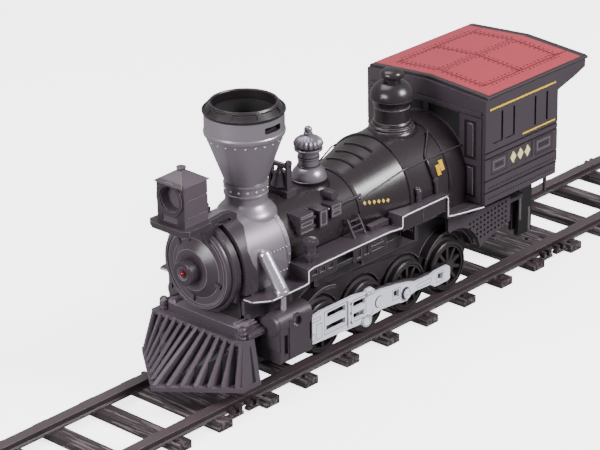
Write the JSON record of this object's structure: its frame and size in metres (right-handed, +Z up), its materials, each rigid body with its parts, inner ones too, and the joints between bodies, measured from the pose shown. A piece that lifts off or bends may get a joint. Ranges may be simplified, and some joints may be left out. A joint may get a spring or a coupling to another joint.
{
  "type": "electric train set",
  "caption": "Toy steam locomotive on snap-together track, with spoked wheels joined by side rods, a flared stack, a headlight, a bell, two domes and a cab over the battery box.",
  "frame": {"origin": "middle of the three track lengths, on the underside of the ties", "axes": "+X across the track to the left side of the engine, the engine faces -Y, +Z up"},
  "size_m": [0.078, 0.4844, 0.141],
  "materials": {
    "axle_steel": "bright drawn steel",
    "bell_plastic": "semi-gloss dark plastic",
    "board_green": "green solder mask",
    "boiler_plastic": "semi-gloss black plastic",
    "brass": "turned brass",
    "cab_plastic": "satin grey plastic with gold printed lines",
    "cell_wrap": "plain blue sleeve",
    "charcoal_plastic": "satin charcoal plastic",
    "contact_steel": "nickel plated",
    "gear_nylon": "white nylon",
    "led_red": "clear red epoxy",
    "lens_silver": "silver painted reflector",
    "motor_can": "zinc plated can",
    "rod_plastic": "pale grey plastic",
    "roof_plastic": "satin red plastic",
    "silver_plastic": "silver painted plastic",
    "speaker_black": "black",
    "track_plastic": "dark plastic, slightly grained"
  },
  "bodies": {
    "track": {"track_middle": "track_plastic", "track_front": "track_plastic", "track_rear": "track_plastic"},
    "engine": {"chassis_frame": "charcoal_plastic", "wheel_arches": "boiler_plastic", "axle_bushes": "brass", "keeper_plate": "charcoal_plastic", "screws": "axle_steel", "gear_case": "boiler_plastic", "motor": "motor_can", "pivot_pins": "axle_steel", "crosshead_guides": "rod_plastic", "cylinders": "charcoal_plastic", "pilot": "charcoal_plastic", "buffer_beam": "charcoal_plastic", "footplate": "charcoal_plastic", "side_panels": "charcoal_plastic", "perforated_plates": "charcoal_plastic", "smokebox": "silver_plastic", "smokebox_front": "charcoal_plastic", "lamp_led": "led_red", "headlight_bracket": "charcoal_plastic", "headlight_housing": "charcoal_plastic", "headlight_lens": "lens_silver", "stack": "silver_plastic", "stack_rim": "boiler_plastic", "bell_yoke": "charcoal_plastic", "steam_dome": "silver_plastic", "boiler": "boiler_plastic", "boiler_fittings": "boiler_plastic", "steam_pipes": "silver_plastic", "sand_dome": "boiler_plastic", "cab": "cab_plastic", "roof": "roof_plastic", "battery_box": "boiler_plastic", "battery_cells": "cell_wrap", "battery_contacts": "contact_steel", "circuit_board": "board_green", "speaker": "speaker_black"},
    "wheelset_1": {"wheels_1": "charcoal_plastic", "axle_1": "axle_steel"},
    "wheelset_2": {"wheels_2": "charcoal_plastic", "axle_2": "axle_steel"},
    "wheelset_3": {"wheels_3": "charcoal_plastic", "axle_3": "axle_steel", "axle_gear": "gear_nylon"},
    "wheelset_4": {"wheels_4": "charcoal_plastic", "axle_4": "axle_steel"},
    "rods_left": {"side_rod_left": "rod_plastic", "inner_rod_left": "charcoal_plastic"},
    "rods_right": {"side_rod_right": "rod_plastic", "inner_rod_right": "charcoal_plastic"},
    "idler": {"idler_gear": "gear_nylon"},
    "motor_rotor": {"motor_pinion": "brass"},
    "bell": {"bell": "bell_plastic"},
    "whistle_button": {"whistle_button": "boiler_plastic"},
    "power_switch": {"power_switch": "boiler_plastic"},
    "battery_cover": {"battery_cover": "boiler_plastic"},
    "drawbar": {"drawbar": "charcoal_plastic"}
  },
  "joints": [
    {"name": "travel", "type": "slide", "parent": "track", "child": "engine", "axis": [0, -1, 0], "range_m": [-0.055, 0.055]},
    {"name": "wheel_1_spin", "type": "hinge", "parent": "engine", "child": "wheelset_1", "pos_m": [0, -0.0565, 0.0215], "axis": [1, 0, 0], "range_deg": [-240, 240]},
    {"name": "wheel_2_spin", "type": "hinge", "parent": "engine", "child": "wheelset_2", "pos_m": [0, -0.025, 0.0215], "axis": [1, 0, 0], "range_deg": [-240, 240]},
    {"name": "wheel_3_spin", "type": "hinge", "parent": "engine", "child": "wheelset_3", "pos_m": [0, 0.0065, 0.0215], "axis": [1, 0, 0], "range_deg": [-240, 240]},
    {"name": "wheel_4_spin", "type": "hinge", "parent": "engine", "child": "wheelset_4", "pos_m": [0, 0.038, 0.0215], "axis": [1, 0, 0], "range_deg": [-240, 240]},
    {"name": "left_rod_pivot", "type": "hinge", "parent": "wheelset_3", "child": "rods_left", "pos_m": [0.025, -0.0005, 0.0215], "axis": [1, 0, 0], "range_deg": [-240, 240]},
    {"name": "right_rod_pivot", "type": "hinge", "parent": "wheelset_3", "child": "rods_right", "pos_m": [-0.025, 0.0065, 0.0285], "axis": [1, 0, 0], "range_deg": [-240, 240]},
    {"name": "idler_spin", "type": "hinge", "parent": "engine", "child": "idler", "pos_m": [0.011, 0.00044, 0.032], "axis": [1, 0, 0], "range_deg": [-560, 560]},
    {"name": "motor_spin", "type": "hinge", "parent": "engine", "child": "motor_rotor", "pos_m": [0.01, -0.00813, 0.04057], "axis": [1, 0, 0], "range_deg": [-1680, 1680]},
    {"name": "bell_swing", "type": "hinge", "parent": "engine", "child": "bell", "pos_m": [0, -0.0595, 0.1016], "axis": [1, 0, 0], "range_deg": [-20, 20]},
    {"name": "whistle_press", "type": "slide", "parent": "engine", "child": "whistle_button", "axis": [0, 0, -1], "range_m": [0, 0.0012], "stiffness_N_per_m": 300, "springref_m": -0.001},
    {"name": "switch_slide", "type": "slide", "parent": "engine", "child": "power_switch", "axis": [1, 0, 0], "range_m": [0, 0.007]},
    {"name": "battery_cover_slide", "type": "slide", "parent": "engine", "child": "battery_cover", "axis": [0, 1, 0], "range_m": [0, 0.056]},
    {"name": "drawbar_swing", "type": "hinge", "parent": "engine", "child": "drawbar", "pos_m": [0, 0.1106, 0.0277], "axis": [0, 0, 1], "range_deg": [-20, 20]}
  ],
  "couplings": [
    {"joint": "wheel_1_spin", "follows": "travel", "rad_per_m": 75.758},
    {"joint": "wheel_2_spin", "follows": "travel", "rad_per_m": 75.758},
    {"joint": "wheel_3_spin", "follows": "travel", "rad_per_m": 75.758},
    {"joint": "wheel_4_spin", "follows": "travel", "rad_per_m": 75.758},
    {"joint": "left_rod_pivot", "follows": "travel", "rad_per_m": -75.758},
    {"joint": "right_rod_pivot", "follows": "travel", "rad_per_m": -75.758},
    {"joint": "idler_spin", "follows": "travel", "rad_per_m": -176.77},
    {"joint": "motor_spin", "follows": "travel", "rad_per_m": 530.3}
  ]
}
